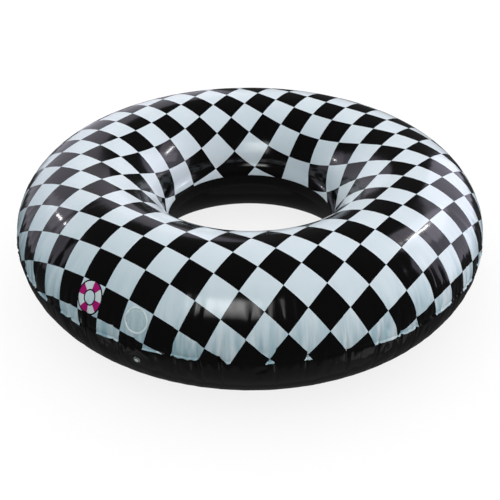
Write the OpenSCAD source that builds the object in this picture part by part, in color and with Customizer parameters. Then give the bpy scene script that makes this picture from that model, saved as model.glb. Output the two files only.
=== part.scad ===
// Inflatable ring tube: two welded vinyl panels, a push-in valve with a tethered plug, and a clear disc.
// The origin is on the surface that the tube rests on, at the centre of the hole, with +Z up.
// A place on the tube is an angle around its section and an azimuth around the hole. The section angle is
// 0 at the outermost level, 90 at the crown, 180 at the hole and -90 underneath.

/* [Tube] */
// Outer diameter of the inflated tube
tube_d = 1220; // [1000:10:1500]
// Width of the tube, from the hole to the outer edge
tube_w = 390; // [330:5:420]
// Height of the crown above the widest level
crown_h = 173; // [140:1:200]
// Depth of the underside below the widest level
belly_h = 173; // [140:1:200]
// How far the crown leans outwards, as a share
crown_lean = 0.026; // [0:0.002:0.08]
// How far the belly leans outwards, as a share
belly_lean = 0.05; // [0:0.002:0.08]
// How much the underside is flattened where the tube rests
rest_flat = 1; // [0.5:0.1:3]

/* [Film] */
// Thickness of the vinyl film
film_t = 0.5; // [0.5:0.1:1]
// Height of both seams above the widest level
seam_rise = 5; // [2:1:10]
// Width of the welded edge that stands out of each seam
weld_w = 4; // [2:0.5:8]
// Straight steps in each panel's section
film_steps = 48; // [24:4:72]

/* [Valve] */
// Azimuth of the valve and the clear disc
valve_azimuth = 246; // [0:1:360]
// Section angle of the valve
valve_angle = -12; // [-20:1:-9]
// Radius of the flange that is welded inside the film
flange_r = 20; // [14:1:24]
// Thickness of the flange
flange_t = 0.8; // [0.5:0.1:1.5]
// Outer radius of the stem
stem_r = 6.3; // [5.5:0.1:7]
// Radius of the stem's bore
bore_r = 4; // [3:0.1:4.4]
// Length of the stem below its rim
stem_l = 17.8; // [15:0.1:20]
// Radius of the stem's rim and of the plug's head
rim_r = 7.6; // [7.4:0.1:8.2]
// Thickness of the stem's rim
rim_t = 1.5; // [1:0.1:2]
// Height of the plug's head
head_h = 2.2; // [1.5:0.1:3]
// Length of the plug's shank
shank_l = 7; // [5:0.5:9]
// Width of the strap that holds the plug
strap_w = 3; // [2:0.5:4]
// Thickness of the strap
strap_t = 0.8; // [0.6:0.1:1]

/* [Clear disc] */
// Section angle of the clear disc
disc_angle = 21; // [17:1:40]
// Radius of the clear disc
disc_r = 28; // [15:1:30]
// Thickness of the disc inside its rim
disc_t = 0.5; // [0.4:0.1:1]
// Width of the disc's raised rim
disc_rim_w = 2.5; // [1:0.5:4]
// Thickness of the disc's raised rim
disc_rim_t = 1.2; // [1:0.1:1.6]

/* [Hidden] */

ring_r = (tube_d - tube_w) / 2;
half_w = tube_w / 2;
seam_out = asin(seam_rise / crown_h / (1 + crown_lean));
seam_in = 180 - asin(seam_rise / crown_h / (1 - crown_lean));

soft_gap = 0.3; // between soft parts that slide past each other
fit_gap = 0.05; // between the plug's shank and the bore
face_gap = 0.1; // between faces that close on each other
neck_wall = 1.8; // of the flange's neck in the film's hole
skirt_t = 0.5; // of the soft skirt around the stem
skirt_l = stem_l - 1.8; // from the flange to the skirt's inner end
flap_r = 5.2; // of the one-way flap
flap_t = 0.8; // thickness of the flap
flap_pivot = 5.7; // from the valve's axis to the flap's hinge line
flap_tab_w = 3; // width of the flap's tab
flap_bead_r = 0.45; // of the round bead along the flap's hinge line
strap_reach = 10.4; // from the valve's axis to the middle of the strap's bend
strap_inset = 0.4; // from the rim's and the head's outer faces to the strap
film_fn = 180; // around the hole
small_fn = 48; // around the valve's parts

// Radius from the hole's axis, inset from the film's outer face
function section_x(angle, inset) = ring_r + (half_w - inset) * cos(angle);
// Height above the widest level, before the flat underneath
function section_z(angle, inset) = sin(angle) >= 0
    ? (crown_h - inset) * sin(angle) * (1 + crown_lean * cos(angle))
    : (belly_h - inset) * sin(angle) * (1 + belly_lean * cos(angle));

deepest = min([for (angle = [-110:0.5:-70]) section_z(angle, 0)]);
widest_z = -deepest - rest_flat; // height of the widest level above the floor
seam_z = widest_z + seam_rise;

// One place on a panel's section, inset from its outer face and held to its side of the seam
function crown_point(step, inset) = let(angle = seam_out + (seam_in - seam_out) * step / film_steps)
    [section_x(angle, inset), max(seam_z, widest_z + section_z(angle, inset))];
function belly_point(step, inset) = let(angle = seam_out - (360 + seam_out - seam_in) * step / film_steps)
    [section_x(angle, inset), min(seam_z, max(inset, widest_z + section_z(angle, inset)))];
function film_point(crown, step, inset) = crown ? crown_point(step, inset) : belly_point(step, inset);

// The space between two insets from a panel's outer face, all the way around the hole
module film_band(crown, inset_out, inset_in) {
    outer = [for (step = [0:film_steps]) film_point(crown, step, inset_out)];
    inner = [for (step = [film_steps:-1:0]) film_point(crown, step, inset_in)];
    rotate_extrude($fn = film_fn) polygon(concat(outer, inner));
}

// One film's share of the two welded edges, with its lower face at height z
module weld_edges(z) {
    for (radii = [[section_x(seam_out, film_t), tube_d / 2 + weld_w],
                  [section_x(seam_in, 0) - weld_w, section_x(seam_in, film_t)]])
        rotate_extrude($fn = film_fn) translate([radii[0], z]) square([radii[1] - radii[0], film_t]);
}

// Places its children on the film's outer face, with their +Z along the outward normal
module on_film(angle) {
    h = sin(angle) >= 0 ? crown_h : belly_h;
    lean = sin(angle) >= 0 ? crown_lean : belly_lean;
    rise = h * (cos(angle) + lean * cos(2 * angle));
    tilt = atan2(half_w * sin(angle), rise);
    rotate([0, 0, valve_azimuth])
        translate([section_x(angle, 0), 0, widest_z + section_z(angle, 0)])
            rotate([0, 90 - tilt, 0]) children();
}

// A straight round piece between two heights
module disc(r, z_low, z_high) {
    translate([0, 0, z_low]) cylinder(r = r, h = z_high - z_low, $fn = small_fn);
}

// A straight round tube between two heights
module ring(r_out, r_in, z_low, z_high) {
    difference() {
        disc(r_out, z_low, z_high);
        disc(r_in, z_low - 1, z_high + 1);
    }
}

// The printed upper panel with its half of both welded edges
module top_panel() {
    color("lightblue") {
        film_band(true, 0, film_t);
        weld_edges(seam_z);
    }
}

// The plain lower panel with its half of both welded edges and the valve's hole
module bottom_panel() {
    color("dimgray") difference() {
        union() {
            film_band(false, 0, film_t);
            weld_edges(seam_z - film_t);
        }
        on_film(valve_angle) disc(stem_r + soft_gap + neck_wall, -10, 10);
    }
}

// The flange welded inside the film, its neck in the film's hole, and the soft skirt around the stem
module valve_base() {
    inner_r = stem_r + soft_gap;
    color("gainsboro") {
        difference() {
            intersection() {
                film_band(false, film_t, film_t + flange_t);
                on_film(valve_angle) disc(flange_r, -10, 10);
            }
            on_film(valve_angle) disc(inner_r, -10, 10);
        }
        on_film(valve_angle) {
            ring(inner_r + neck_wall, inner_r, -film_t - flange_t / 2, 0);
            ring(inner_r + skirt_t, inner_r, -skirt_l, -film_t - flange_t / 2);
        }
    }
}

// The stem that is pushed into the tube when it isn't in use
module valve_stem() {
    color("whitesmoke") on_film(valve_angle) difference() {
        union() {
            disc(stem_r, face_gap - stem_l, face_gap);
            disc(rim_r, face_gap, face_gap + rim_t);
        }
        disc(bore_r, -stem_l - 1, rim_t + 1);
    }
}

// The plug that closes the stem's bore, with a low domed head
module valve_plug() {
    seat = face_gap + rim_t + fit_gap;
    dome_r = (rim_r * rim_r + head_h * head_h) / (2 * head_h);
    color("white") on_film(valve_angle) {
        disc(bore_r - fit_gap, seat - shank_l, seat);
        intersection() {
            disc(rim_r - soft_gap, seat, seat + head_h);
            translate([0, 0, seat + head_h - dome_r]) sphere(r = dome_r, $fn = 2 * small_fn);
        }
    }
}

// The strap that ties the plug to the stem's rim, in one bend beside them
module plug_strap() {
    low = face_gap + strap_inset + strap_t / 2;
    high = rim_t + head_h - strap_inset - strap_t / 2;
    bend_r = (high - low) / 2;
    color("white") on_film(valve_angle) difference() {
        union() {
            for (z = [low, high])
                translate([-strap_reach, -strap_w / 2, z - strap_t / 2])
                    cube([strap_reach - rim_r + 1, strap_w, strap_t]);
            translate([-strap_reach, strap_w / 2, low + bend_r]) rotate([90, 0, 0]) difference() {
                cylinder(r = bend_r + strap_t / 2, h = strap_w, $fn = small_fn);
                translate([0, 0, -1]) cylinder(r = bend_r - strap_t / 2, h = strap_w + 2, $fn = small_fn);
                translate([0, -strap_reach, -1]) cube([strap_reach, 2 * strap_reach, strap_w + 2]);
            }
        }
        disc(rim_r, -1, rim_t + head_h + 1);
    }
}

// The one-way flap under the stem's bore, with its tab and the round bead that it hinges on
module check_flap() {
    top = -stem_l;
    tab_l = flap_pivot - flap_r / 2;
    color("whitesmoke") on_film(valve_angle) {
        disc(flap_r, top - flap_t, top);
        translate([flap_r / 2, -flap_tab_w / 2, top - flap_t])
            cube([tab_l, flap_tab_w, flap_t]);
        translate([flap_pivot, flap_tab_w / 2, top - flap_bead_r])
            rotate([90, 0, 0]) cylinder(r = flap_bead_r, h = flap_tab_w, $fn = small_fn);
    }
}

// The round clear disc on the upper panel, straight above the valve
module clear_disc() {
    color("powderblue") {
        intersection() {
            film_band(true, -disc_t, 0);
            on_film(disc_angle) disc(disc_r, -10, 10);
        }
        intersection() {
            film_band(true, -disc_rim_t, 0);
            on_film(disc_angle) ring(disc_r, disc_r - disc_rim_w, -10, 10);
        }
    }
}

top_panel();
bottom_panel();
valve_base();
valve_stem();
valve_plug();
plug_strap();
check_flap();
clear_disc();
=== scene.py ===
"""Inflated ring tube with a checkered upper film, a plain black lower film and a push-in valve.

Sizes are in metres. A place on the tube is a section angle, 0 at the outermost level, 90 degrees at the
crown and 180 at the hole, and an azimuth around the hole. On a film it is also t, the distance along the
film from the outer seam. A push moves the film along its outward normal, and a lift moves it upwards.
"""
import math

import bmesh
import bpy
import numpy as np
from mathutils import Matrix, Quaternion, Vector
from mathutils.geometry import delaunay_2d_cdt

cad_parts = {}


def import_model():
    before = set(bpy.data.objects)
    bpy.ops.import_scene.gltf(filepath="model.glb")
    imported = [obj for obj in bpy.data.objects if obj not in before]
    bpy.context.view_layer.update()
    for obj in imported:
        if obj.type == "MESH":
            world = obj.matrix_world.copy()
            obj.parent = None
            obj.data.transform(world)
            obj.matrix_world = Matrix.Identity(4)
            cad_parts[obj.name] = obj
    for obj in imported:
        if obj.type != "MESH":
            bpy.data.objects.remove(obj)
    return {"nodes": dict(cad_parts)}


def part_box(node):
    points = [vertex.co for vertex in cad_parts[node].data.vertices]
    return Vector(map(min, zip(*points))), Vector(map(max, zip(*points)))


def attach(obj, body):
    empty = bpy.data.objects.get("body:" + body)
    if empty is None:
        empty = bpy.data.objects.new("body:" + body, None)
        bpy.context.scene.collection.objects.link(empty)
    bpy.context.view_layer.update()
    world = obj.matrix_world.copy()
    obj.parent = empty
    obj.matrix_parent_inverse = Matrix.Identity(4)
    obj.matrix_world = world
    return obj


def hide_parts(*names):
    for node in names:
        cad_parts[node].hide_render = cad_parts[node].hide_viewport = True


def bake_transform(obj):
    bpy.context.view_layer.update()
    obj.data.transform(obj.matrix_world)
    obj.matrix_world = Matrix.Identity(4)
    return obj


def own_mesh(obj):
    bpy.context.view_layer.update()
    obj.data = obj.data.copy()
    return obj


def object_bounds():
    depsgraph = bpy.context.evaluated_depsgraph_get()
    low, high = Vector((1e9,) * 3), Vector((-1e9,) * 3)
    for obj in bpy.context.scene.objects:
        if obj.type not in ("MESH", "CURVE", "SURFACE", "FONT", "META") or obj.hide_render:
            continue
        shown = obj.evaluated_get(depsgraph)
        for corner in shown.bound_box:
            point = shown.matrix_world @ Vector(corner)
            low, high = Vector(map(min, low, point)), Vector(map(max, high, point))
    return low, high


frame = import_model()
cad_low, cad_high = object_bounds()
MM = 0.001

# ---------------------------------------------------------------- sizes of the tube

WELD_W = 4 * MM  # width of the welded edge outside each seam
FILM_T = 0.5 * MM
TUBE_W = 0.390
CROWN_H = 0.173
BELLY_H = 0.173
CROWN_LEAN = 0.026
BELLY_LEAN = 0.05
SEAM_RISE = 5 * MM  # both seams above the widest level
OUT_R = cad_high.x - WELD_W
HALF_W = TUBE_W / 2
RING_R = OUT_R - HALF_W
SEAM_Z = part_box("top_panel")[0].z
WIDEST_Z = SEAM_Z - SEAM_RISE
SEAM_OUT = math.asin(SEAM_RISE / CROWN_H / (1 + CROWN_LEAN))
SEAM_IN = math.pi - math.asin(SEAM_RISE / CROWN_H / (1 - CROWN_LEAN))

# ---------------------------------------------------------------- the print

SQUARE = 0.0737  # side of a printed square
FLAT_HOLE_R = 0.1796  # radius of the hole in the flat, unblown film
PRINT_TURN = math.radians(-36.34)  # of the rows of squares
PRINT_SHIFT = (5.49, 4.678)  # from the hole's centre to a corner of a square, in squares
EMBLEM_AT = (-5.5, 4.5)  # centre of the emblem's square, in squares
PALE = ((0.735, 0.80, 0.86, 1), (0.78, 0.84, 0.89, 1))
FOLD_SHADED_PALE = ((0.34, 0.51, 0.58, 1), (0.72, 0.81, 0.85, 1))  # painted shade: the pale ink darker and bluer in the folds, near its own colour on the ridges
DARK = ((0.0012, 0.0010, 0.0012, 1), (0.0030, 0.0026, 0.0030, 1))
PLAIN_BLACK = ((0.0020, 0.0018, 0.0020, 1), (0.0045, 0.0040, 0.0045, 1))
EMBLEM_RINGS = (0.55, 0.50, 0.26, 0.215)  # radii of the lifebuoy's outlines, in squares, from the outermost
EMBLEM_BANDS = 4
EMBLEM_WHITE = (0.80, 0.83, 0.85, 1)
EMBLEM_PINK = (0.50, 0.005, 0.17, 1)
EMBLEM_BLACK = (0.004, 0.004, 0.005, 1)

# ---------------------------------------------------------------- the pleats along the outer seam

PLEATS = 56
PLEAT_SEED = 11
PLEAT_SPREAD = 0.36  # how much wider or narrower than the mean a pleat may be, as a share
PLEAT_DEPTH = (2.6 * MM, 6.5 * MM)
PLEAT_REACH = {  # of the shortest and the longest, from the seam
    "crown": (50 * MM, 115 * MM),
    "belly": (80 * MM, 150 * MM),
}
PLEAT_SKEW = 1.3  # how unequally the two sides of a fold may open
PLEAT_DRIFT = 0.22  # how far a crease may lean to one side, per length
DRIFT_REACH = 0.16
FOLD_W = 3.4 * MM  # how far a fold opens to each side
FOLD_ROUNDING = (0.5 * MM, 4.0 * MM)  # of its line, at the seam and at its end
SEAM_SWAY = 2.2 * MM  # of the seam up and down, at the creases
SEAM_SWAY_REACH = 0.05
SHORT_SWAY = 1.5  # how much a short fold lifts the seam, as a share of its push
PUFF = 1.6 * MM  # of the film between two creases
PUFF_REACH = 0.08
SHORT_FOLDS = 6  # to a pleat
SHORT_START = (-30 * MM, 20 * MM)  # from the seam, and a fold that would start outside it starts at it
SHORT_L = (18 * MM, 63 * MM)
SHORT_DEPTH = (0.7 * MM, 2.8 * MM)
SHORT_W = (2.4 * MM, 4.6 * MM)
SHORT_DRIFT = 0.3  # of its line across the pleat, as a share of the pleat's width
SHORT_ROUNDING = 1.0 * MM
WAVES = 26  # shallow waves around the tube, on each film
WAVE_COUNTS = (30, 150)
WAVE_SIZE = 0.16 * MM
WAVE_REACH = 0.14
WAVE_START = 0.03
GATHER = 0.065  # share of the film's width that the pleats take up at the seam
GATHER_REACH = 0.11
COLUMNS_PER_PLEAT = 24
CROWDING = 0.5  # of a pleat's columns towards its creases
FIRST_ROWS = (0.0, 1.5 * MM, 3.2 * MM)  # from the seam
NEAR_ROW = 5 * MM
NEAR_REACH = 0.115
ROW_GROWTH = 1.2
FAR_ROW = 22 * MM
FLAP_W = 5 * MM  # of the printed film's welded edge, which hangs down over the lower film
FLAP_OUT = 1.5 * MM  # how far it stands off at its end
FLAP_ROWS = (1.0, 0.7, 0.4, 0.15)  # as shares of the width, from its end to the seam
RUFFLES = 12
RUFFLE_COUNTS = (70, 230)
RUFFLE_OUT = 0.4 * MM
RUFFLE_DOWN = 0.45 * MM
CUT_BACK = 0.6  # how much narrower the hanging edge is cut beside the valve
CUT_BACK_AT = 42 * MM  # from the valve, around the seam
CUT_BACK_REACH = 30 * MM
GROOVE = {  # depth and reach of the groove along the outer seam
    "crown": (1.3 * MM, 5 * MM),
    "belly": (2.1 * MM, 8 * MM),
}
BEHIND_FLAP = 1.5 * MM  # how far the lower film reaches up behind the hanging edge
INNER_LIP = 0.4 * MM  # what shows of the weld in the hole
CALM_REACH = 22 * MM  # over which the pleats fade towards the stiff valve and disc

# ---------------------------------------------------------------- the valve and the clear disc

VALVE_AZIMUTH = math.radians(246)
VALVE_ANGLE = math.radians(-12)
FILM_HOLE_R = 8.4 * MM
FLANGE_R = 20 * MM
FLANGE_T = (-1.35 * MM, -0.6 * MM)  # its inner and outer face, from the film's outer face
BULGE_H = 1.7 * MM  # of the film around the flange
BULGE_R = 33 * MM
BULGE_W = 9 * MM
FLANGE_STEP = 0.35 * MM  # of the film over the flange's edge
FLANGE_STEP_W = 2.4 * MM
PATCH_R = 25 * MM  # of the finely divided film around the valve
PATCH_RINGS_MM = (8.4, 8.8, 9.6, 11.2, 13.4, 15.8, 17.8, 18.9, 19.8, 20.7, 21.8, 23.4)  # from the hole's edge
PATCH_AROUND = 64
STEM_R = 6.3 * MM
BORE_R = 4 * MM
STEM_L = 17.8 * MM
RIM_R = 7.6 * MM
RIM_T = 1.5 * MM
HEAD_R = 7.3 * MM
HEAD_H = 2.2 * MM
BOSS_R = 4.7 * MM
SHANK_R = 3.95 * MM
SHANK_L = 7 * MM
SEAT = 0.1 * MM  # of the stem's rim above the film
STRAP_W = 3 * MM
STRAP_T = 0.8 * MM
STRAP_REACH = 10.4 * MM
SKIRT_GAP = 0.35 * MM  # around the stem
SKIRT_MM = (1.4, 16)  # where it starts and ends, inwards from the film
SKIRT_T = 0.5 * MM
SKIRT_FOLD = 0.12 * MM
DISC_ANGLE = math.radians(21)
DISC_R = 28 * MM
DISC_STRETCH = 1.08  # of the disc up the section, because the film is gathered sideways
DISC_T = 0.5 * MM
DISC_RIM_W = 3.2 * MM
DISC_RIM_T = 1.2 * MM


# ---------------------------------------------------------------- the shape of the films

def section(angle):
    """Radius and height of the film's outer face."""
    up = np.sin(angle) >= 0
    h = np.where(up, CROWN_H, BELLY_H)
    lean = np.where(up, CROWN_LEAN, BELLY_LEAN)
    r = RING_R + HALF_W * np.cos(angle)
    z = WIDEST_Z + h * np.sin(angle) * (1 + lean * np.cos(angle))
    return r, np.maximum(z, 0.0)


def section_normal(angle):
    """Outward normal of the film, as its share along the radius and its share upwards."""
    up = np.sin(angle) >= 0
    h = np.where(up, CROWN_H, BELLY_H)
    lean = np.where(up, CROWN_LEAN, BELLY_LEAN)
    out = h * (np.cos(angle) + lean * np.cos(2 * angle))
    rise = HALF_W * np.sin(angle)
    size = np.hypot(out, rise)
    return out / size, rise / size


def arc_table(end):
    """Angles along the section from the outer seam, and their distance from it."""
    angles = np.linspace(SEAM_OUT, end, 4001)
    r, z = section(angles)
    steps = np.hypot(np.diff(r), np.diff(z))
    return angles, np.concatenate([[0.0], np.cumsum(steps)])


ARCS = {"crown": arc_table(SEAM_IN), "belly": arc_table(SEAM_IN - 2 * math.pi)}


def angle_at(side, t):
    angles, arcs = ARCS[side]
    return np.interp(t, arcs, angles)


def distance_at(side, angle):
    angles, arcs = ARCS[side]
    turn = 1 if side == "crown" else -1
    return float(np.interp(turn * angle, turn * angles, arcs))


def on_film(side, t, azimuth, push=0.0, lift=0.0):
    """Points on a film's outer face, pushed out along its normal and lifted."""
    angle = angle_at(side, t)
    r, z = section(angle)
    out, up = section_normal(angle)
    r = r + out * push
    z = np.maximum(z + up * push + lift, 0.0)
    return np.stack([r * np.cos(azimuth), r * np.sin(azimuth), z + 0 * azimuth], -1)


VALVE_T = distance_at("belly", VALVE_ANGLE)
DISC_T_ALONG = distance_at("crown", DISC_ANGLE)


def frame_on_film(side, t):
    """Matrix of a place at the valve's azimuth: its Z is the outward normal and its X points down."""
    angle = angle_at(side, t)
    out, up = section_normal(angle)
    c, s = math.cos(VALVE_AZIMUTH), math.sin(VALVE_AZIMUTH)
    normal = Vector((out * c, out * s, up))
    across = Vector((-s, c, 0))
    down = across.cross(normal)
    place = Vector(on_film(side, t, np.array(VALVE_AZIMUTH)))
    turned = Matrix((down, across, normal)).transposed()
    return Matrix.Translation(place) @ turned.to_4x4()


VALVE = frame_on_film("belly", VALVE_T)


def smooth_step(x):
    x = np.clip(x, 0, 1)
    return x * x * (3 - 2 * x)


class Pleats:
    """The wrinkles along the outer seam. Both films share the creases where they meet."""

    def __init__(self):
        rng = np.random.default_rng(PLEAT_SEED)
        widths = 1 + PLEAT_SPREAD * (2 * rng.random(PLEATS) - 1)
        edges = np.concatenate([[0.0], np.cumsum(widths)])
        self.edges = edges / edges[-1] * 2 * math.pi
        self.depth = PLEAT_DEPTH[0] + (PLEAT_DEPTH[1] - PLEAT_DEPTH[0]) * rng.random(PLEATS) ** 1.5
        self.skew = PLEAT_SKEW * (rng.random(PLEATS) - 0.5)
        self.lift = SEAM_SWAY * (2 * rng.random(PLEATS) - 1)
        self.reach = {}
        self.drift = {}
        self.puff = PUFF * rng.random(PLEATS)
        self.small = self.small_folds(rng)
        self.waves = {}
        for side in ("crown", "belly"):
            shortest, longest = PLEAT_REACH[side]
            self.reach[side] = shortest + (longest - shortest) * rng.random(PLEATS)
            self.drift[side] = PLEAT_DRIFT * (rng.random(PLEATS) - 0.5)
            self.waves[side] = self.wave_set(rng, WAVE_COUNTS, WAVES) + (WAVE_SIZE * rng.random(WAVES),)
        self.ruffles = self.wave_set(rng, RUFFLE_COUNTS, RUFFLES)

    @staticmethod
    def wave_set(rng, counts, amount):
        """How often each wave goes around the tube, and its phase."""
        return rng.integers(*counts, amount), rng.random(amount) * 2 * math.pi

    def ruffle(self, azimuth):
        """The waves of the hanging edge, between -1 and 1."""
        counts, phases = self.ruffles
        return np.clip(np.sin(azimuth[:, None] * counts + phases).sum(axis=1) / 3, -1, 1)

    @staticmethod
    def small_folds(rng):
        """Short folds inside the pleats: the pleat, the place across it, both ends, and the shape."""
        count = SHORT_FOLDS * PLEATS

        def between(span, power=1.0):
            return span[0] + (span[1] - span[0]) * rng.random(count) ** power

        start = np.maximum(between(SHORT_START), 0.0)
        return {
            "pleat": rng.integers(0, PLEATS, count),
            "across": between((0.15, 0.85)),
            "start": start,
            "end": start + between(SHORT_L),
            "depth": between(SHORT_DEPTH, 1.5),
            "width": between(SHORT_W),
            "drift": SHORT_DRIFT * (rng.random(count) - 0.5),
        }

    @staticmethod
    def columns():
        """Each column's pleat and its place across it, from 0 at one crease to 1 at the next."""
        x = np.arange(COLUMNS_PER_PLEAT) / COLUMNS_PER_PLEAT
        across = x - CROWDING * np.sin(2 * math.pi * x) / (2 * math.pi)
        pleat = np.repeat(np.arange(PLEATS), COLUMNS_PER_PLEAT)
        return pleat, np.tile(across, PLEATS)


def fold_shape(x, width, rounding):
    """An inward fold with a sharp line that opens out: 1 at its line and 0 far from it."""
    return np.exp(-(np.sqrt(x * x + rounding * rounding) - rounding) / width)


def pleated(pleats, side, t):
    """Azimuth, flat azimuth, push along the normal and lift of every column at distance t from the seam."""
    pleat, across = pleats.columns()
    after = (pleat + 1) % PLEATS
    width = pleats.edges[pleat + 1] - pleats.edges[pleat]
    start = pleats.edges[pleat]
    fade = np.clip(1 - t / DRIFT_REACH, 0, 1)
    drift_a = pleats.drift[side][pleat] * t / OUT_R * fade
    drift_b = pleats.drift[side][after] * t / OUT_R * fade
    azimuth = start + drift_a + across * (width + drift_b - drift_a)
    push = np.zeros_like(azimuth)
    for which, offset, to_side in ((pleat, across, 1), (after, 1 - across, -1)):
        x = offset * width * OUT_R
        live = np.clip(1 - t / pleats.reach[side][which], 0, 1)
        opening = FOLD_W * (1 + to_side * pleats.skew[which]) * (0.55 + 0.45 * live)
        rounding = FOLD_ROUNDING[0] + (FOLD_ROUNDING[1] - FOLD_ROUNDING[0]) * (1 - live)
        push -= pleats.depth[which] * live ** 1.25 * fold_shape(x, opening, rounding)
    short = small_push(pleats, t, pleat, across, width)
    push += short
    push += pleats.puff[pleat] * np.sin(math.pi * across) ** 2 * np.clip(1 - t / PUFF_REACH, 0, 1)
    counts, phases, sizes = pleats.waves[side]
    wave_share = math.exp(-(t / WAVE_REACH) ** 2) * smooth_step(t / WAVE_START)
    push += np.sin(azimuth[:, None] * counts + phases) @ sizes * wave_share
    lift = pleats.lift[pleat] * (1 - across) + pleats.lift[after] * across
    lift = (lift + SHORT_SWAY * short) * math.exp(-t / SEAM_SWAY_REACH)
    gather = GATHER * max(0.0, 1 - t / GATHER_REACH)
    middle = start + width / 2
    flat_azimuth = azimuth + gather * (middle - azimuth)
    return azimuth, flat_azimuth, push, lift


def small_push(pleats, t, pleat, across, width):
    """The push of the short folds at distance t from the seam."""
    small = pleats.small
    push = np.zeros_like(across)
    for k in range(len(small["pleat"])):
        along = (t - small["start"][k]) / (small["end"][k] - small["start"][k])
        if not 0 <= along < 1:
            continue
        mine = pleat == small["pleat"][k]
        line = small["across"][k] + small["drift"][k] * along
        x = (across[mine] - line) * width[mine] * OUT_R
        swell = 1 - along if small["start"][k] == 0 else math.sin(math.pi * along)
        push[mine] -= small["depth"][k] * swell * fold_shape(x, small["width"][k], SHORT_ROUNDING)
    return push


def row_distances(side):
    """Distance of each row from the outer seam, close together near it."""
    length = ARCS[side][1][-1]
    rows = list(FIRST_ROWS)
    while rows[-1] < NEAR_REACH:
        rows.append(rows[-1] + NEAR_ROW)
    step = NEAR_ROW
    while rows[-1] < length - FAR_ROW:
        step = min(step * ROW_GROWTH, FAR_ROW)
        rows.append(rows[-1] + step)
    rows[-1] = length
    return rows


def flat_place(flat_azimuth, flat_r):
    """A place on the flat film, in squares of the print."""
    x, y = flat_r * np.cos(flat_azimuth), flat_r * np.sin(flat_azimuth)
    c, s = math.cos(PRINT_TURN), math.sin(PRINT_TURN)
    u = (c * x + s * y) / SQUARE - PRINT_SHIFT[0]
    v = (s * x - c * y) / SQUARE - PRINT_SHIFT[1]
    return u, v


def calm(side, t, azimuth):
    """How much of the pleats is left beside the stiff valve or disc, from 0 to 1, and the distance to it."""
    centre, stiff_r = (DISC_T_ALONG, DISC_R) if side == "crown" else (VALVE_T, FLANGE_R)
    turn = (azimuth - VALVE_AZIMUTH + math.pi) % (2 * math.pi) - math.pi
    away = np.hypot(turn * OUT_R, t - centre)
    return smooth_step((away - stiff_r) / CALM_REACH), away


def valve_bulge(away):
    """The film rises around the flange that holds it flat, and steps over the flange's edge."""
    swell = BULGE_H * np.exp(-((away - BULGE_R) / BULGE_W) ** 2)
    return swell + FLANGE_STEP * smooth_step((FLANGE_R + FLANGE_STEP_W / 2 - away) / FLANGE_STEP_W)


def flap_width(azimuth):
    """Width of the hanging edge, which is cut narrower beside the valve."""
    from_valve = (azimuth - VALVE_AZIMUTH) * OUT_R
    return FLAP_W * (1 - CUT_BACK * np.exp(-((from_valve - CUT_BACK_AT) / CUT_BACK_REACH) ** 2))


def film(name, side, pleats):
    """One film with its share of both welded edges, as a closed band of rows and columns."""
    turn = 1 if side == "crown" else -1
    length = ARCS[side][1][-1]
    rows, places = [], []

    def add_row(r, z, azimuth, flat_azimuth, flat_r):
        rows.append(np.stack([r * np.cos(azimuth), r * np.sin(azimuth), z + 0 * azimuth], -1))
        places.append(flat_place(flat_azimuth, flat_r))

    azimuth, flat_azimuth, push, lift = pleated(pleats, side, 0.0)
    left = calm(side, 0.0, azimuth)[0]
    groove, groove_reach = GROOVE[side]
    r_seam = section(SEAM_OUT)[0] + push * left - groove
    z_seam = SEAM_Z + lift * left
    if side == "crown":
        ruffle = pleats.ruffle(azimuth)
        flap_w = flap_width(azimuth)
        for share in FLAP_ROWS:
            r = r_seam + (groove + FLAP_OUT + RUFFLE_OUT * ruffle) * share
            z = z_seam - (flap_w + RUFFLE_DOWN * ruffle) * share
            add_row(r, z, azimuth, flat_azimuth, FLAT_HOLE_R + length + flap_w * share)
    else:
        add_row(r_seam, z_seam + BEHIND_FLAP, azimuth, flat_azimuth, FLAT_HOLE_R + length)
    for t in row_distances(side):
        azimuth, flat_azimuth, push, lift = pleated(pleats, side, t)
        left, away = calm(side, t, azimuth)
        push = push * left - groove * max(0.0, 1 - t / groove_reach) ** 1.3
        if side == "belly":
            push = push + valve_bulge(away)
        rows.append(on_film(side, t, azimuth, push, lift * left))
        places.append(flat_place(flat_azimuth, FLAT_HOLE_R + length - t))
    r_inner = section(SEAM_IN)[0]
    for out in (INNER_LIP / 2, INNER_LIP):
        add_row(r_inner - out, SEAM_Z + turn * 0.4 * MM, azimuth, flat_azimuth, FLAT_HOLE_R - out)
    grid = np.array(rows)
    uv = np.array([np.stack(p, -1) for p in places]).reshape(-1, 2)
    points = grid.reshape(-1, 3)
    quads = grid_quads(grid.shape[0], grid.shape[1], flip=(side == "belly"))
    faces = quads.tolist()
    if side == "belly":
        points, faces = with_valve_hole(points, quads)
        uv = None
    return mesh_object(name, points, faces, uv)


def grid_quads(n_rows, n_cols, flip):
    """Quads of a band of rows that run all the way around."""
    index = np.arange(n_rows * n_cols).reshape(n_rows, n_cols)
    after = np.roll(index, -1, axis=1)
    quads = np.stack([index[:-1], after[:-1], after[1:], index[1:]], -1).reshape(-1, 4)
    return quads[:, ::-1] if flip else quads


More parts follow.
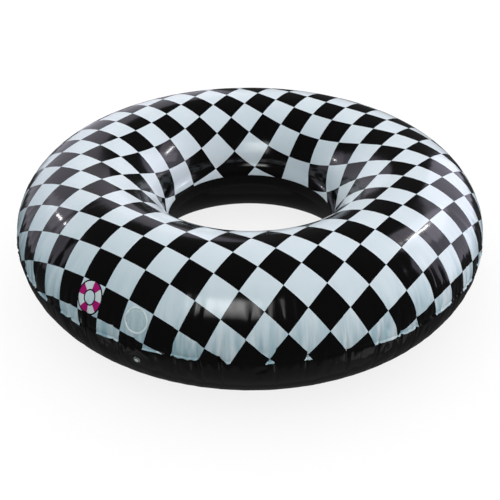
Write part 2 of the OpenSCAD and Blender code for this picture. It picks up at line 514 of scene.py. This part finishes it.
def with_valve_hole(points, quads):
    """Puts finely divided film with the valve's round hole in place of the quads around the valve."""
    inverse = np.array(VALVE.inverted())
    local = points @ inverse[:3, :3].T + inverse[:3, 3]
    inside = (np.hypot(local[:, 0], local[:, 1]) < PATCH_R) & (np.abs(local[:, 2]) < 0.03)
    hit = inside[quads].any(axis=1)
    kept, cut = quads[~hit], quads[hit]

    def edges_of(faces):
        pairs = np.concatenate([faces[:, [k, (k + 1) % 4]] for k in range(4)])
        return {tuple(sorted(pair)) for pair in pairs.tolist()}

    border = sorted(edges_of(cut) & edges_of(kept))
    loop = sorted({v for edge in border for v in edge})
    flat = [Vector(local[v][:2]) for v in loop]
    edges = [(loop.index(a), loop.index(b)) for a, b in border]
    where = {k: v for k, v in enumerate(loop)}
    extra = []
    r_here = float(section(VALVE_ANGLE)[0])
    for r_mm in PATCH_RINGS_MM:
        first = len(flat)
        for k in range(PATCH_AROUND):
            turn = 2 * math.pi * k / PATCH_AROUND
            down, across = r_mm * MM * math.cos(turn), r_mm * MM * math.sin(turn)
            t, azimuth = VALVE_T + down, np.array(VALVE_AZIMUTH + across / r_here)
            extra.append(on_film("belly", t, azimuth, float(valve_bulge(r_mm * MM))))
            where[len(flat)] = len(points) + len(extra) - 1
            flat.append(Vector((down, across)))
        if r_mm == PATCH_RINGS_MM[0]:
            edges += [(first + k, first + (k + 1) % PATCH_AROUND) for k in range(PATCH_AROUND)]
    out_flat, _, triangles, origin, _, _ = delaunay_2d_cdt(flat, edges, [], 1, 1e-7)
    faces = kept.tolist()
    for triangle in triangles:
        centre = sum((out_flat[v] for v in triangle), Vector((0, 0))) / 3
        if centre.length < FILM_HOLE_R:
            continue
        corners = [where[origin[v][0]] for v in triangle]
        a, b, c = (out_flat[v] for v in triangle)
        if (b - a).cross(c - a) < 0:
            corners.reverse()
        faces.append(corners)
    used = sorted({v for face in faces for v in face})
    new_index = {v: k for k, v in enumerate(used)}
    everything = np.concatenate([points, np.array(extra)])
    return everything[used], [[new_index[v] for v in face] for face in faces]


def mesh_object(name, points, faces, uv=None):
    mesh = bpy.data.meshes.new(name)
    mesh.from_pydata(np.asarray(points).tolist(), [], faces)
    if uv is not None:
        layer = mesh.uv_layers.new(name="film")
        corners = np.array([v for face in faces for v in face])
        layer.data.foreach_set("uv", uv[corners].astype(np.float32).ravel())
    mesh.shade_smooth()
    piece = bpy.data.objects.new(name, mesh)
    bpy.context.scene.collection.objects.link(piece)
    return piece


def give_thickness(piece):
    """The film's own thickness, inwards from its outer face."""
    solid = piece.modifiers.new("film", "SOLIDIFY")
    solid.thickness = FILM_T
    solid.offset = -1
    solid.use_rim = True


# ---------------------------------------------------------------- round pieces

AROUND = 72  # points around a small round piece
DISC_AROUND = 96


def rounded(outline, radius):
    """A closed outline whose corners are rounded. A corner is (r, z) or (r, z, its own radius)."""
    result = []
    count = len(outline)
    for k, corner in enumerate(outline):
        here = Vector(corner[:2])
        before = Vector(outline[k - 1][:2]) - here
        after = Vector(outline[(k + 1) % count][:2]) - here
        wanted = corner[2] if len(corner) > 2 else radius
        cut = min(wanted, before.length * 0.45, after.length * 0.45)
        start, end = here + before.normalized() * cut, here + after.normalized() * cut
        if cut < 1e-6:
            result.append(here)
            continue
        for s in np.linspace(0, 1, 5):
            result.append(start * (1 - s) ** 2 + here * 2 * s * (1 - s) + end * s ** 2)
    return result


def finer(outline, longest):
    """A closed outline with no side longer than a given length."""
    result = []
    for a, b in zip(outline, outline[1:] + outline[:1]):
        parts = max(1, math.ceil((b - a).length / longest))
        result += [a.lerp(b, k / parts) for k in range(parts)]
    return result


def turned_points(outline, place, around):
    """The outline's points at every step around the axis. place takes each one to where it belongs."""
    points = []
    for k in range(around):
        turn = 2 * math.pi * k / around
        points += [place(r * math.cos(turn), r * math.sin(turn), z) for r, z in outline]
    return points


def turned(name, outline, place):
    """A ring turned from a closed outline of (r, z) that doesn't reach the axis."""
    points, faces = turned_points(outline, place, AROUND), []
    count = len(outline)
    for k in range(AROUND):
        ahead = (k + 1) % AROUND
        for j in range(count):
            low = (j + 1) % count
            faces.append([k * count + j, k * count + low, ahead * count + low, ahead * count + j])
    return mesh_object(name, points, faces)


def turned_solid(name, outline, place, around):
    """A solid turned from an open outline that starts and ends on the axis."""
    rings = outline[1:-1]
    points = [place(0, 0, outline[0][1]), place(0, 0, outline[-1][1])] + turned_points(rings, place, around)
    count = len(rings)
    faces = []
    for k in range(around):
        ahead = (k + 1) % around
        here, there = 2 + k * count, 2 + ahead * count
        faces.append([0, there, here])
        faces.append([1, here + count - 1, there + count - 1])
        for j in range(count - 1):
            faces.append([here + j, there + j, there + j + 1, here + j + 1])
    return mesh_object(name, points, faces)


def straight(x, y, z):
    """A place in the valve's own frame."""
    return VALVE @ Vector((x, y, z))


def on_belly(x, y, z):
    """A place beside the valve that follows the lower film."""
    r_here = float(section(VALVE_ANGLE)[0])
    return on_film("belly", VALVE_T + x, np.array(VALVE_AZIMUTH + y / r_here), z)


def on_crown(x, y, z):
    """A place beside the clear disc's centre that follows the upper film."""
    r_here = float(section(DISC_ANGLE)[0])
    return on_film("crown", DISC_T_ALONG - x * DISC_STRETCH, np.array(VALVE_AZIMUTH + y / r_here), z)


def fix_normals(piece):
    """Turns every face outwards."""
    mesh = bmesh.new()
    mesh.from_mesh(piece.data)
    bmesh.ops.recalc_face_normals(mesh, faces=mesh.faces)
    mesh.to_mesh(piece.data)
    mesh.free()


def valve_flange():
    """The flange inside the film, with its neck in the film's hole."""
    neck_r, inner_r = FILM_HOLE_R - 0.05 * MM, STEM_R + SKIRT_GAP
    low, high = FLANGE_T
    outline = rounded([(inner_r, low), (FLANGE_R, low), (FLANGE_R, high), (neck_r, high),
                       (neck_r, 0.05 * MM), (inner_r, 0.05 * MM)], 0.3 * MM)
    return turned("valve_flange", finer(outline, 2 * MM), on_belly)


def valve_skirt():
    """The soft sleeve between the flange and the stem, with shallow folds where it rolls."""
    inner_r = STEM_R + SKIRT_GAP
    levels = np.linspace(*SKIRT_MM, 30)
    folds = SKIRT_FOLD * np.sin(3 * levels)
    inside = [Vector((inner_r + fold, -level * MM)) for level, fold in zip(levels, folds)]
    outside = [Vector((place.x + SKIRT_T, place.y)) for place in inside]
    return turned("valve_skirt", outside + inside[::-1], straight)


def valve_stem():
    outline = rounded([(BORE_R, -STEM_L), (STEM_R, -STEM_L), (STEM_R, SEAT, 0.2 * MM), (RIM_R, SEAT),
                       (RIM_R, SEAT + RIM_T, 0.6 * MM), (BORE_R, SEAT + RIM_T)], 0.35 * MM)
    return turned("push_stem", outline, straight)


def valve_plug():
    """The plug: a tapered shank under a thin flange, with a domed boss in the middle."""
    seat = SEAT + RIM_T + 0.05 * MM
    low = seat - SHANK_L
    top = seat + HEAD_H
    outline = [Vector((0, low)), Vector((2.6 * MM, low)), Vector((3.2 * MM, low + 0.15 * MM)),
               Vector((3.7 * MM, low + 0.7 * MM)), Vector((SHANK_R, low + 1.6 * MM)),
               Vector((SHANK_R, seat - 0.4 * MM)), Vector((SHANK_R, seat)),
               Vector((HEAD_R - 0.7 * MM, seat + 0.02 * MM))]
    edge = Vector((HEAD_R - 0.4 * MM, seat + 0.42 * MM))
    for turn in np.radians(np.linspace(-80, 80, 9)):
        outline.append(edge + 0.4 * MM * Vector((math.cos(turn), math.sin(turn))))
    outline += [Vector((6.2 * MM, seat + 0.75 * MM)), Vector((5.5 * MM, seat + 0.75 * MM)),
                Vector((BOSS_R + 0.25 * MM, seat + 0.85 * MM)), Vector((BOSS_R, seat + 1.1 * MM)),
                Vector((BOSS_R - 0.1 * MM, top - 0.75 * MM)), Vector((BOSS_R - 0.4 * MM, top - 0.4 * MM))]
    for r in (3.7, 3.0, 2.2, 1.4, 0.7, 0.0):
        outline.append(Vector((r * MM, top - (r * MM) ** 2 / (2 * 26 * MM))))
    piece = turned_solid("tethered_plug", outline, straight, AROUND)
    to_valve = VALVE.inverted()
    mark_thick(piece, lambda place: (to_valve @ place).to_2d().length < BOSS_R + 0.4 * MM)
    return piece


def plug_strap():
    """The flat strap from the stem's rim around to the plug's head."""
    low, high = SEAT + 0.8 * MM, RIM_T + HEAD_H - 0.8 * MM
    bend_r = (high - low) / 2
    inner_x = -RIM_R + 0.5 * MM
    path = [Vector((x, low)) for x in np.linspace(inner_x, -STRAP_REACH, 6)]
    for turn in np.linspace(-90, 90, 13)[1:-1]:
        a = math.radians(turn)
        path.append(Vector((-STRAP_REACH - bend_r * math.cos(a), low + bend_r + bend_r * math.sin(a))))
    path += [Vector((x, high)) for x in np.linspace(-STRAP_REACH, inner_x, 6)]
    half_w, half_t = STRAP_W / 2, STRAP_T / 2
    corners = [(-half_w, -half_t), (half_w, -half_t), (half_w, half_t), (-half_w, half_t)]
    profile = rounded(corners, 0.3 * MM)
    points, faces = [], []
    count = len(profile)
    for k, here in enumerate(path):
        ahead, behind = path[min(k + 1, len(path) - 1)], path[max(k - 1, 0)]
        along = (ahead - behind).normalized()
        side = Vector((-along.y, along.x))
        for across, out in profile:
            spot = here + side * out
            points.append(straight(spot.x, across, spot.y))
    for k in range(len(path) - 1):
        for j in range(count):
            low_j = (j + 1) % count
            faces.append([k * count + j, k * count + low_j, (k + 1) * count + low_j, (k + 1) * count + j])
    faces.append(list(range(count)))
    faces.append([(len(path) - 1) * count + j for j in reversed(range(count))])
    return mesh_object("plug_tether", points, faces)


def mark_thick(piece, is_thick):
    """Stores 1 on the points where the vinyl is thick and milky, and 0 where it is thin and clear."""
    thick = piece.data.attributes.new("thick", "FLOAT", "POINT")
    for point, value in zip(piece.data.vertices, thick.data):
        value.value = float(is_thick(point.co))


def clear_disc():
    """The clear disc that lies on the upper film, with its raised round rim, whose whiter, more opaque colour
    is partly milky vinyl and partly a painted highlight.
    """
    low = 0.03 * MM
    inner = DISC_R - DISC_RIM_W
    upper = [Vector((DISC_R, low)), Vector((DISC_R, DISC_T))]
    for turn in np.linspace(0, 180, 13)[1:-1]:
        a = math.radians(turn)
        r = DISC_R - DISC_RIM_W / 2 + DISC_RIM_W / 2 * math.cos(a)
        upper.append(Vector((r, DISC_T + (DISC_RIM_T - DISC_T) * math.sin(a) ** 0.8)))
    flat = [Vector((r, DISC_T + low)) for r in np.linspace(inner, 0, 10)]
    under = [Vector((r, low)) for r in np.linspace(0, DISC_R, 12)[:-1]]
    outline = under + upper + flat
    piece = turned_solid("clear_patch", outline, on_crown, DISC_AROUND)
    centre = Vector(on_crown(0, 0, 0))
    mark_thick(piece, lambda place: (place - centre).length > inner + 0.3 * MM)
    return piece


# ---------------------------------------------------------------- materials

WRINKLE_REACH = 0.12  # above and below the outer seam
FOLD_SHADE_REACH = 0.14  # of the painted fold shade, above and below the outer seam
UPRIGHT = 0.18  # of a texture's height is left, which draws it out up and down the film


def new_material(name):
    material = bpy.data.materials.new(name)
    material.use_nodes = True
    tree = material.node_tree
    shader = tree.nodes["Principled BSDF"]
    return material, tree, shader


def math_node(tree, operation, a, b=None, c=None):
    node = tree.nodes.new("ShaderNodeMath")
    node.operation = operation
    for socket, value in zip(node.inputs, (a, b, c)):
        if value is None:
            continue
        if isinstance(value, (int, float)):
            socket.default_value = value
        else:
            tree.links.new(value, socket)
    return node.outputs[0]


def vector_math(tree, operation, a, b=None):
    node = tree.nodes.new("ShaderNodeVectorMath")
    node.operation = operation
    tree.links.new(a, node.inputs[0])
    if operation == "SCALE":
        node.inputs["Scale"].default_value = b
    elif isinstance(b, tuple):
        node.inputs[1].default_value = b
    elif b is not None:
        tree.links.new(b, node.inputs[1])
    return node.outputs[0]


def mix_colour(tree, factor, a, b):
    node = tree.nodes.new("ShaderNodeMix")
    node.data_type = "RGBA"
    for socket, value in ((node.inputs[0], factor), (node.inputs[6], a), (node.inputs[7], b)):
        if isinstance(value, (tuple, float, int)):
            socket.default_value = value
        else:
            tree.links.new(value, socket)
    return node.outputs[2]


def noise(tree, scale, detail=2.0, coordinates=None):
    node = tree.nodes.new("ShaderNodeTexNoise")
    node.inputs["Scale"].default_value = scale
    node.inputs["Detail"].default_value = detail
    if coordinates is None:
        coordinates = tree.nodes.new("ShaderNodeTexCoord").outputs["Object"]
    tree.links.new(coordinates, node.inputs["Vector"])
    return node.outputs["Fac"]


def bump(tree, shader, height):
    """Bump whose height is in metres."""
    node = tree.nodes.new("ShaderNodeBump")
    node.inputs["Strength"].default_value = 1.0
    node.inputs["Distance"].default_value = 1.0
    tree.links.new(height, node.inputs["Height"])
    tree.links.new(node.outputs[0], shader.inputs["Normal"])


def crease_lines(tree, scale, sharpness, place):
    """Thin lines, 1 on the line and 0 beside it, that wander through the material."""
    away = math_node(tree, "ABSOLUTE", math_node(tree, "SUBTRACT", noise(tree, scale, 1.0, place), 0.5))
    return math_node(tree, "MAXIMUM", math_node(tree, "MULTIPLY_ADD", away, -sharpness, 1.0), 0.0)


def near_seam(tree, place, reach):
    """1 at the outer seam, falling to 0 at a given height above and below it."""
    split = tree.nodes.new("ShaderNodeSeparateXYZ")
    tree.links.new(place, split.inputs[0])
    from_seam = math_node(tree, "ABSOLUTE", math_node(tree, "SUBTRACT", split.outputs[2], SEAM_Z))
    near = math_node(tree, "MAXIMUM", math_node(tree, "MULTIPLY_ADD", from_seam, -1 / reach, 1.0), 0.0)
    length = tree.nodes.new("ShaderNodeVectorMath")
    length.operation = "LENGTH"
    tree.links.new(vector_math(tree, "MULTIPLY", place, (1, 1, 0)), length.inputs[0])
    outside = math_node(tree, "GREATER_THAN", length.outputs["Value"], RING_R)
    return math_node(tree, "MULTIPLY", near, outside)


def upright_place(tree, place):
    """The place, drawn out upwards, so that a texture on it runs up and down the film."""
    split = tree.nodes.new("ShaderNodeSeparateXYZ")
    tree.links.new(place, split.inputs[0])
    level = vector_math(tree, "MULTIPLY", place, (1, 1, 0))
    round_place = vector_math(tree, "SCALE", vector_math(tree, "NORMALIZE", level), OUT_R)
    upright = tree.nodes.new("ShaderNodeCombineXYZ")
    tree.links.new(math_node(tree, "MULTIPLY", split.outputs[2], UPRIGHT), upright.inputs[2])
    return vector_math(tree, "ADD", round_place, upright.outputs[0])


def film_height(tree, fine):
    """The unevenness of stretched vinyl. fine is the strength of the wrinkles near the seam."""
    place = tree.nodes.new("ShaderNodeTexCoord").outputs["Object"]
    stretched = upright_place(tree, place)
    near = near_seam(tree, place, WRINKLE_REACH)
    patchy = math_node(tree, "MULTIPLY", near, noise(tree, 9.0, 1.0, stretched))
    height = math_node(tree, "MULTIPLY", noise(tree, 55.0, 2.0, stretched), 1.1 * MM * fine)
    height = math_node(tree, "MULTIPLY", height, near)
    for scale, sharpness, depth in ((26.0, 12.0, 1.5 * MM), (60.0, 7.0, 0.7 * MM)):
        lines = math_node(tree, "MULTIPLY", crease_lines(tree, scale, sharpness, stretched), -depth * fine)
        height = math_node(tree, "MULTIPLY_ADD", lines, patchy, height)
    height = math_node(tree, "MULTIPLY_ADD", noise(tree, 11.0, 1.0), 0.12 * MM, height)
    return math_node(tree, "MULTIPLY_ADD", noise(tree, 700.0, 1.0), 0.0015 * MM, height)


def vinyl(shader, roughness):
    shader.inputs["Roughness"].default_value = roughness
    shader.inputs["IOR"].default_value = 1.5


def emblem(tree, u, v, ground):
    """A plain lifebuoy, printed over the ground colour."""
    du = math_node(tree, "SUBTRACT", u, EMBLEM_AT[0])
    dv = math_node(tree, "SUBTRACT", v, EMBLEM_AT[1])
    away = math_node(tree, "SQRT", math_node(tree, "ADD", math_node(tree, "MULTIPLY", du, du),
                                             math_node(tree, "MULTIPLY", dv, dv)))
    around = math_node(tree, "ARCTAN2", dv, du)
    bands = math_node(tree, "SINE", math_node(tree, "MULTIPLY", around, float(EMBLEM_BANDS)))
    band = math_node(tree, "GREATER_THAN", bands, 0.1)
    inside = [math_node(tree, "LESS_THAN", away, radius) for radius in EMBLEM_RINGS]
    outline = math_node(tree, "SUBTRACT", inside[0], inside[3])
    ring = math_node(tree, "SUBTRACT", inside[1], inside[2])
    ring_colour = mix_colour(tree, band, EMBLEM_WHITE, EMBLEM_PINK)
    with_outline = mix_colour(tree, outline, ground, EMBLEM_BLACK)
    return mix_colour(tree, ring, with_outline, ring_colour)


def printed_vinyl():
    """The upper film: squares in two inks. Near the outer seam the pale ink carries painted shade, darker and
    bluer in streaks, for the shaded folds.
    """
    material, tree, shader = new_material("printed vinyl")
    uv = tree.nodes.new("ShaderNodeUVMap")
    uv.uv_map = "film"
    split = tree.nodes.new("ShaderNodeSeparateXYZ")
    tree.links.new(uv.outputs[0], split.inputs[0])
    u, v = split.outputs[0], split.outputs[1]
    parity = math_node(tree, "ADD", math_node(tree, "FLOOR", u), math_node(tree, "FLOOR", v))
    odd = math_node(tree, "FLOORED_MODULO", parity, 2.0)
    place = tree.nodes.new("ShaderNodeTexCoord").outputs["Object"]
    flat = mix_colour(tree, noise(tree, 25.0), *PALE)
    # Painted shade: streaks near the outer seam darken the pale ink and turn it bluer, standing in for shade
    # in the folds.
    shade_streaks = noise(tree, 52.0, 4.0, upright_place(tree, place))
    fold_shaded = mix_colour(tree, math_node(tree, "MULTIPLY_ADD", shade_streaks, 3.6, -1.3), *FOLD_SHADED_PALE)
    pale = mix_colour(tree, near_seam(tree, place, FOLD_SHADE_REACH), flat, fold_shaded)
    dark = mix_colour(tree, noise(tree, 18.0), *DARK)
    squares = mix_colour(tree, odd, pale, dark)
    tree.links.new(emblem(tree, u, v, squares), shader.inputs["Base Color"])
    vinyl(shader, 0.12)
    bump(tree, shader, film_height(tree, 1.0))
    return material


def black_vinyl():
    """The lower film."""
    material, tree, shader = new_material("black vinyl")
    dark = mix_colour(tree, noise(tree, 18.0), *PLAIN_BLACK)
    tree.links.new(dark, shader.inputs["Base Color"])
    vinyl(shader, 0.15)
    bump(tree, shader, film_height(tree, 0.35))
    return material


def milky_vinyl(name, colour, clearness, roughness):
    """Soft moulded vinyl that lets some light through, with a faint satin unevenness."""
    material, tree, shader = new_material(name)
    deeper = tuple(0.9 * c for c in colour)
    tint = mix_colour(tree, noise(tree, 320.0), colour + (1,), deeper + (1,))
    tree.links.new(tint, shader.inputs["Base Color"])
    vinyl(shader, roughness)
    shader.inputs["Transmission Weight"].default_value = clearness
    bump(tree, shader, math_node(tree, "MULTIPLY", noise(tree, 900.0, 2.0), 0.02 * MM))
    return material


def two_tone_vinyl(name, thin, thick, thin_alpha, thick_alpha):
    """Clear vinyl where it is thin and milky where it is thick, with a faint unevenness."""
    material, tree, shader = new_material(name)
    where = tree.nodes.new("ShaderNodeAttribute")
    where.attribute_name = "thick"
    thick_here = where.outputs["Fac"]
    uneven = mix_colour(tree, noise(tree, 70.0), thin + (1,), tuple(0.93 * c for c in thin) + (1,))
    tree.links.new(mix_colour(tree, thick_here, uneven, thick + (1,)), shader.inputs["Base Color"])
    alpha = math_node(tree, "MULTIPLY_ADD", thick_here, thick_alpha - thin_alpha, thin_alpha)
    tree.links.new(alpha, shader.inputs["Alpha"])
    vinyl(shader, 0.12)
    bump(tree, shader, math_node(tree, "MULTIPLY", noise(tree, 90.0, 2.0), 0.06 * MM))
    return material


# ---------------------------------------------------------------- the pieces

pleats = Pleats()
top_film = film("top_film", "crown", pleats)
bottom_film = film("bottom_film", "belly", pleats)
films = (
    (top_film, "top_panel", "printed_film", printed_vinyl()),
    (bottom_film, "bottom_panel", "black_film", black_vinyl()),
)
for piece, node, slot, material in films:
    piece.data.materials.append(material)
    give_thickness(piece)
    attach(piece, "tube")
    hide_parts(node)

soft = milky_vinyl("soft clear vinyl", (0.80, 0.83, 0.84), 0.55, 0.22)
plug_soft = two_tone_vinyl("plug vinyl", (0.30, 0.31, 0.30), (0.86, 0.86, 0.82), 0.35, 1.0)
strap_soft = milky_vinyl("strap vinyl", (0.30, 0.31, 0.30), 0.35, 0.16)
# The clear disc's thick rim is near white: partly milky vinyl, partly a painted highlight along the rim.
clear = two_tone_vinyl("clear vinyl", (0.85, 0.96, 0.97), (0.93, 0.99, 1.0), 0.22, 0.90)
flange, skirt, stem = valve_flange(), valve_skirt(), valve_stem()
plug, strap, disc = valve_plug(), plug_strap(), clear_disc()
small_pieces = (
    (flange, "tube", "valve_base", "soft_vinyl", soft),
    (skirt, "tube", "valve_base", "soft_vinyl", soft),
    (stem, "stem", "valve_stem", "soft_vinyl", soft),
    (plug, "plug", "valve_plug", "plug_vinyl", plug_soft),
    (strap, None, "plug_strap", "plug_vinyl", strap_soft),
    (disc, "tube", "clear_disc", "clear_vinyl", clear),
)
for piece, body, node, slot, material in small_pieces:
    fix_normals(piece)
    piece.data.materials.append(material)
    if body is not None:
        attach(piece, body)
    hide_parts(node)
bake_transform(strap)
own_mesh(skirt)
for material_slot in frame["nodes"]["check_flap"].material_slots:
    material_slot.material = soft

# ---------------------------------------------------------------- floor, light and camera

CENTRE = Vector((0, 0, WIDEST_Z))
CAMERA_ELEVATION = math.radians(30.82)
CAMERA_DISTANCE = 2.390
CAMERA_DOWN = math.radians(33.04)  # below level, of the line of sight
CAMERA_ROLL = math.radians(0.21)
LAMP_DISTANCE = 3.4
FRONT_STEPS = 6  # nested boxes that make the front light fade towards its edges
BACKDROP_BRIGHTNESS = 0.967  # the same as the lit floor's


def stage_material(name, colour, glow=0.0):
    """A plain matt material for the floor and the wall."""
    material, _, shader = new_material(name)
    shader.inputs["Base Color"].default_value = colour + (1,)
    shader.inputs["Roughness"].default_value = 0.9
    shader.inputs["Specular IOR Level"].default_value = 0.0
    shader.inputs["Emission Color"].default_value = (1, 1, 1, 1)
    shader.inputs["Emission Strength"].default_value = glow
    return material


def floor():
    """A pale floor that neither colours the tube from below nor shows in its gloss."""
    bpy.ops.mesh.primitive_plane_add(size=40, location=(0, 0, 0))
    plane = bpy.context.object
    plane.name = "floor"
    plane.data.materials.append(stage_material("floor", (0.93, 0.93, 0.93)))
    plane.visible_diffuse = False
    plane.visible_glossy = False
    return plane


def backdrop():
    """A pale wall far away that only the camera sees."""
    bpy.ops.mesh.primitive_uv_sphere_add(radius=19, location=(0, 0, 0))
    dome = bpy.context.object
    dome.name = "backdrop"
    dome.data.materials.append(stage_material("backdrop", (0.0, 0.0, 0.0), BACKDROP_BRIGHTNESS))
    for ray in ("diffuse", "glossy", "transmission", "shadow", "volume_scatter"):
        setattr(dome, f"visible_{ray}", False)


def light_group(name, thing, state):
    """A collection that makes a lamp light only the thing, or everything but it."""
    group = bpy.data.collections.new(name)
    group.objects.link(thing)
    group.collection_objects[0].light_linking.link_state = state
    return group


def lamp(name, azimuth, elevation, width, height, brightness, colour=(1, 1, 1), group=None,
         rays=("diffuse", "glossy", "transmission"), shadow=True, roll=0.0):
    """A soft box of a given brightness. Azimuth 0 degrees is on the camera's side and 90 on the right."""
    a, e = math.radians(azimuth), math.radians(elevation)
    towards = Vector((math.sin(a) * math.cos(e), -math.cos(a) * math.cos(e), math.sin(e)))
    light = bpy.data.lights.new(name, "AREA")
    light.shape = "RECTANGLE"
    light.size = width
    light.size_y = height
    light.energy = brightness * math.pi * width * height
    light.color = colour
    light.use_shadow = shadow
    thing = bpy.data.objects.new(name, light)
    thing.location = CENTRE + towards * LAMP_DISTANCE
    thing.rotation_mode = "QUATERNION"
    turned_in_place = Quaternion((0, 0, 1), math.radians(roll))
    thing.rotation_quaternion = towards.to_track_quat("Z", "Y") @ turned_in_place
    thing.light_linking.receiver_collection = group
    for ray in ("diffuse", "glossy", "transmission"):
        setattr(thing, f"visible_{ray}", ray in rays)
    bpy.context.scene.collection.objects.link(thing)


def sun(name, brightness, width, shadow, group):
    """Even light from above, which makes a white matt surface that bright. Its width is in degrees."""
    light = bpy.data.lights.new(name, "SUN")
    light.angle = math.radians(width)
    light.energy = brightness * math.pi
    light.use_shadow = shadow
    thing = bpy.data.objects.new(name, light)
    thing.light_linking.receiver_collection = group
    bpy.context.scene.collection.objects.link(thing)


def camera():
    data = bpy.data.cameras.new("camera")
    data.sensor_width = 36
    data.lens = 64.0
    thing = bpy.data.objects.new("camera", data)
    towards = Vector((0, -math.cos(CAMERA_ELEVATION), math.sin(CAMERA_ELEVATION)))
    thing.location = CENTRE + CAMERA_DISTANCE * towards
    turn = Matrix.Rotation(math.pi / 2 - CAMERA_DOWN, 3, "X") @ Matrix.Rotation(CAMERA_ROLL, 3, "Z")
    thing.rotation_euler = turn.to_euler()
    bpy.context.scene.collection.objects.link(thing)
    bpy.context.scene.camera = thing


def world(brightness, colour):
    w = bpy.data.worlds.new("studio")
    w.use_nodes = True
    w.node_tree.nodes["Background"].inputs[0].default_value = colour + (1,)
    w.node_tree.nodes["Background"].inputs[1].default_value = brightness
    bpy.context.scene.world = w


def lights(plane):
    """Two walls with a box and a bright core each, a front box, and lamps that only fill or only shine."""
    not_floor = light_group("all but the floor", plane, "EXCLUDE")
    only_floor = light_group("the floor", plane, "INCLUDE")
    only_belly = light_group("the lower film", bottom_film, "INCLUDE")
    sun("overhead", 0.16, 150, True, only_floor)
    sun("overhead_fill", 0.88, 1, False, only_floor)
    lamp("left_wall", -137, 14, 5.6, 2.7, 0.62, (1.0, 0.96, 1.12), not_floor)
    lamp("right_wall", 118, 16, 3.9, 2.7, 0.95, (1.02, 0.98, 1.20), not_floor)
    lamp("left_box", -122, 29, 1.2, 1.2, 0.6, (1.0, 0.93, 1.12), not_floor)
    lamp("right_box", 118, 38, 1.3, 1.5, 1.3, (1.04, 0.97, 1.15), not_floor)
    lamp("left_core", -121.5, 29, 0.16, 0.04, 90, group=not_floor, roll=25)
    lamp("right_core", 118.5, 40.5, 0.08, 0.60, 40, group=not_floor, roll=27)
    for k in range(FRONT_STEPS):
        smaller = 1 - k / FRONT_STEPS
        width, height = 0.4 + 1.3 * smaller, 0.3 + 1.3 * smaller
        lamp(f"front_box_{k}", -8 - 1.5 * k, 42 + 0.7 * k, width, height, 0.95, group=not_floor)
    shines = (
        ("low_right", 58, -30, 1.0, 2.0, 0.30),
        ("low_left", -58, -30, 1.0, 2.0, 0.22),
        ("low_front", 0, -66, 5.0, 2.6, 0.055),
    )
    for name, azimuth, elevation, width, height, brightness in shines:
        lamp(name, azimuth, elevation, width, height, brightness, (1, 1, 1), only_belly, ("glossy",), False)
    fills = (
        ("front_fill", 0, 5, 2.4, 0.3, (0.80, 1.0, 1.05)),
        ("right_fill", 65, 12, 2.4, 2.9, (1.0, 1.0, 1.0)),
        ("left_fill", -65, 12, 2.4, 1.0, (0.76, 1.0, 1.04)),
        ("back_fill", 180, 30, 2.4, 3.7, (1.04, 1.0, 0.94)),
        ("top_fill", 0, 85, 3.0, 0.95, (0.85, 1.05, 1.05)),
    )
    for name, azimuth, elevation, height, brightness, colour in fills:
        lamp(name, azimuth, elevation, 3.0, height, brightness, colour, not_floor, ("diffuse",))
    world(0.06, (1.0, 1.0, 1.0))


plane = floor()
backdrop()
lights(plane)
camera()
bpy.context.scene.view_settings.view_transform = "Standard"
